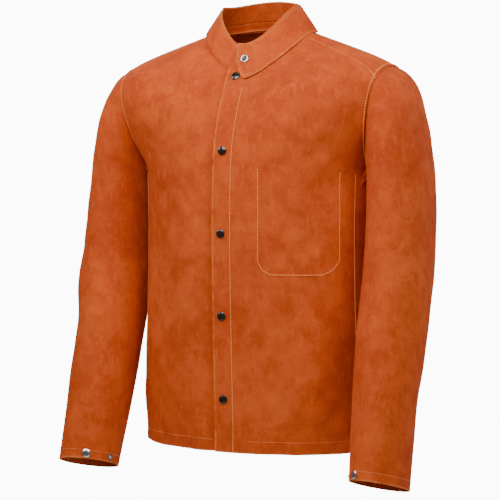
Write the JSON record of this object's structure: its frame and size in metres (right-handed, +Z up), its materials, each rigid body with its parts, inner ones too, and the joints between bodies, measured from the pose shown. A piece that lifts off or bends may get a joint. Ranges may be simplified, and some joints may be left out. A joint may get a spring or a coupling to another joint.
{
  "type": "leather welding jacket",
  "caption": "Suede leather work jacket with a stand collar, snap front, inside chest pocket and long sleeves that raise and bend.",
  "frame": {"origin": "centre of the neck, level with the shoulders where they meet the collar at the sides", "axes": "+Z up towards the collar, +X towards the wearer's left, -Y out of the front"},
  "size_m": [0.6468, 0.3261, 0.8306],
  "materials": {
    "suede": "napped split cowhide suede",
    "black_snap": "gloss black enamel",
    "silver_snap": "bright nickel plate"
  },
  "bodies": {
    "torso": {"back_hem": "suede", "back_panel": "suede", "collar_left": "suede", "collar_right": "suede", "collar_snap_stud": "silver_snap", "collar_snap_stud_back": "silver_snap", "front_snap_stud_backs": "silver_snap", "front_snap_studs": "silver_snap", "inner_pocket": "suede", "left_front_hem": "suede", "left_front_panel": "suede", "left_placket_top": "suede", "left_placket_top_facing": "suede", "right_front_facing": "suede", "right_front_hem": "suede", "right_front_panel": "suede", "top_snap_caps": "black_snap", "top_snap_sockets": "silver_snap"},
    "collar_end": {"collar_end": "suede", "collar_snap_cap": "silver_snap", "collar_snap_socket": "silver_snap"},
    "left_placket": {"front_snap_caps": "black_snap", "front_snap_sockets": "silver_snap", "left_placket": "suede", "left_placket_facing": "suede"},
    "left_lower_sleeve": {"left_cuff_hem": "suede", "left_cuff_snap_cap": "silver_snap", "left_cuff_snap_socket": "silver_snap", "left_cuff_snap_stud": "silver_snap", "left_cuff_snap_stud_back": "silver_snap", "left_lower_sleeve": "suede"},
    "left_upper_sleeve": {"left_upper_sleeve": "suede"},
    "right_lower_sleeve": {"right_cuff_hem": "suede", "right_cuff_snap_cap": "silver_snap", "right_cuff_snap_socket": "silver_snap", "right_cuff_snap_stud": "silver_snap", "right_cuff_snap_stud_back": "silver_snap", "right_lower_sleeve": "suede"},
    "right_upper_sleeve": {"right_upper_sleeve": "suede"}
  },
  "joints": [
    {"name": "left_placket_fold", "type": "hinge", "parent": "torso", "child": "left_placket", "pos_m": [0.0386, -0.14121, -0.4365], "axis": [0, 0.0125, 0.9999], "range_deg": [0, 75]},
    {"name": "collar_end_fold", "type": "hinge", "parent": "torso", "child": "collar_end", "pos_m": [0.0306, -0.10171, -0.07387], "axis": [0, 0.4445, 0.8958], "range_deg": [0, 70]},
    {"name": "left_shoulder_raise", "type": "hinge", "parent": "torso", "child": "left_upper_sleeve", "pos_m": [0.2436, 0, -0.055], "axis": [0, -1, 0], "range_deg": [0, 50]},
    {"name": "right_shoulder_raise", "type": "hinge", "parent": "torso", "child": "right_upper_sleeve", "pos_m": [-0.2436, 0, -0.055], "axis": [0, 1, 0], "range_deg": [0, 50]},
    {"name": "left_elbow_bend", "type": "hinge", "parent": "left_upper_sleeve", "child": "left_lower_sleeve", "pos_m": [0.26675, -0.12644, -0.43233], "axis": [-1, 0, 0], "range_deg": [0, 75]},
    {"name": "right_elbow_bend", "type": "hinge", "parent": "right_upper_sleeve", "child": "right_lower_sleeve", "pos_m": [-0.26675, -0.12644, -0.43233], "axis": [-1, 0, 0], "range_deg": [0, 75]}
  ]
}
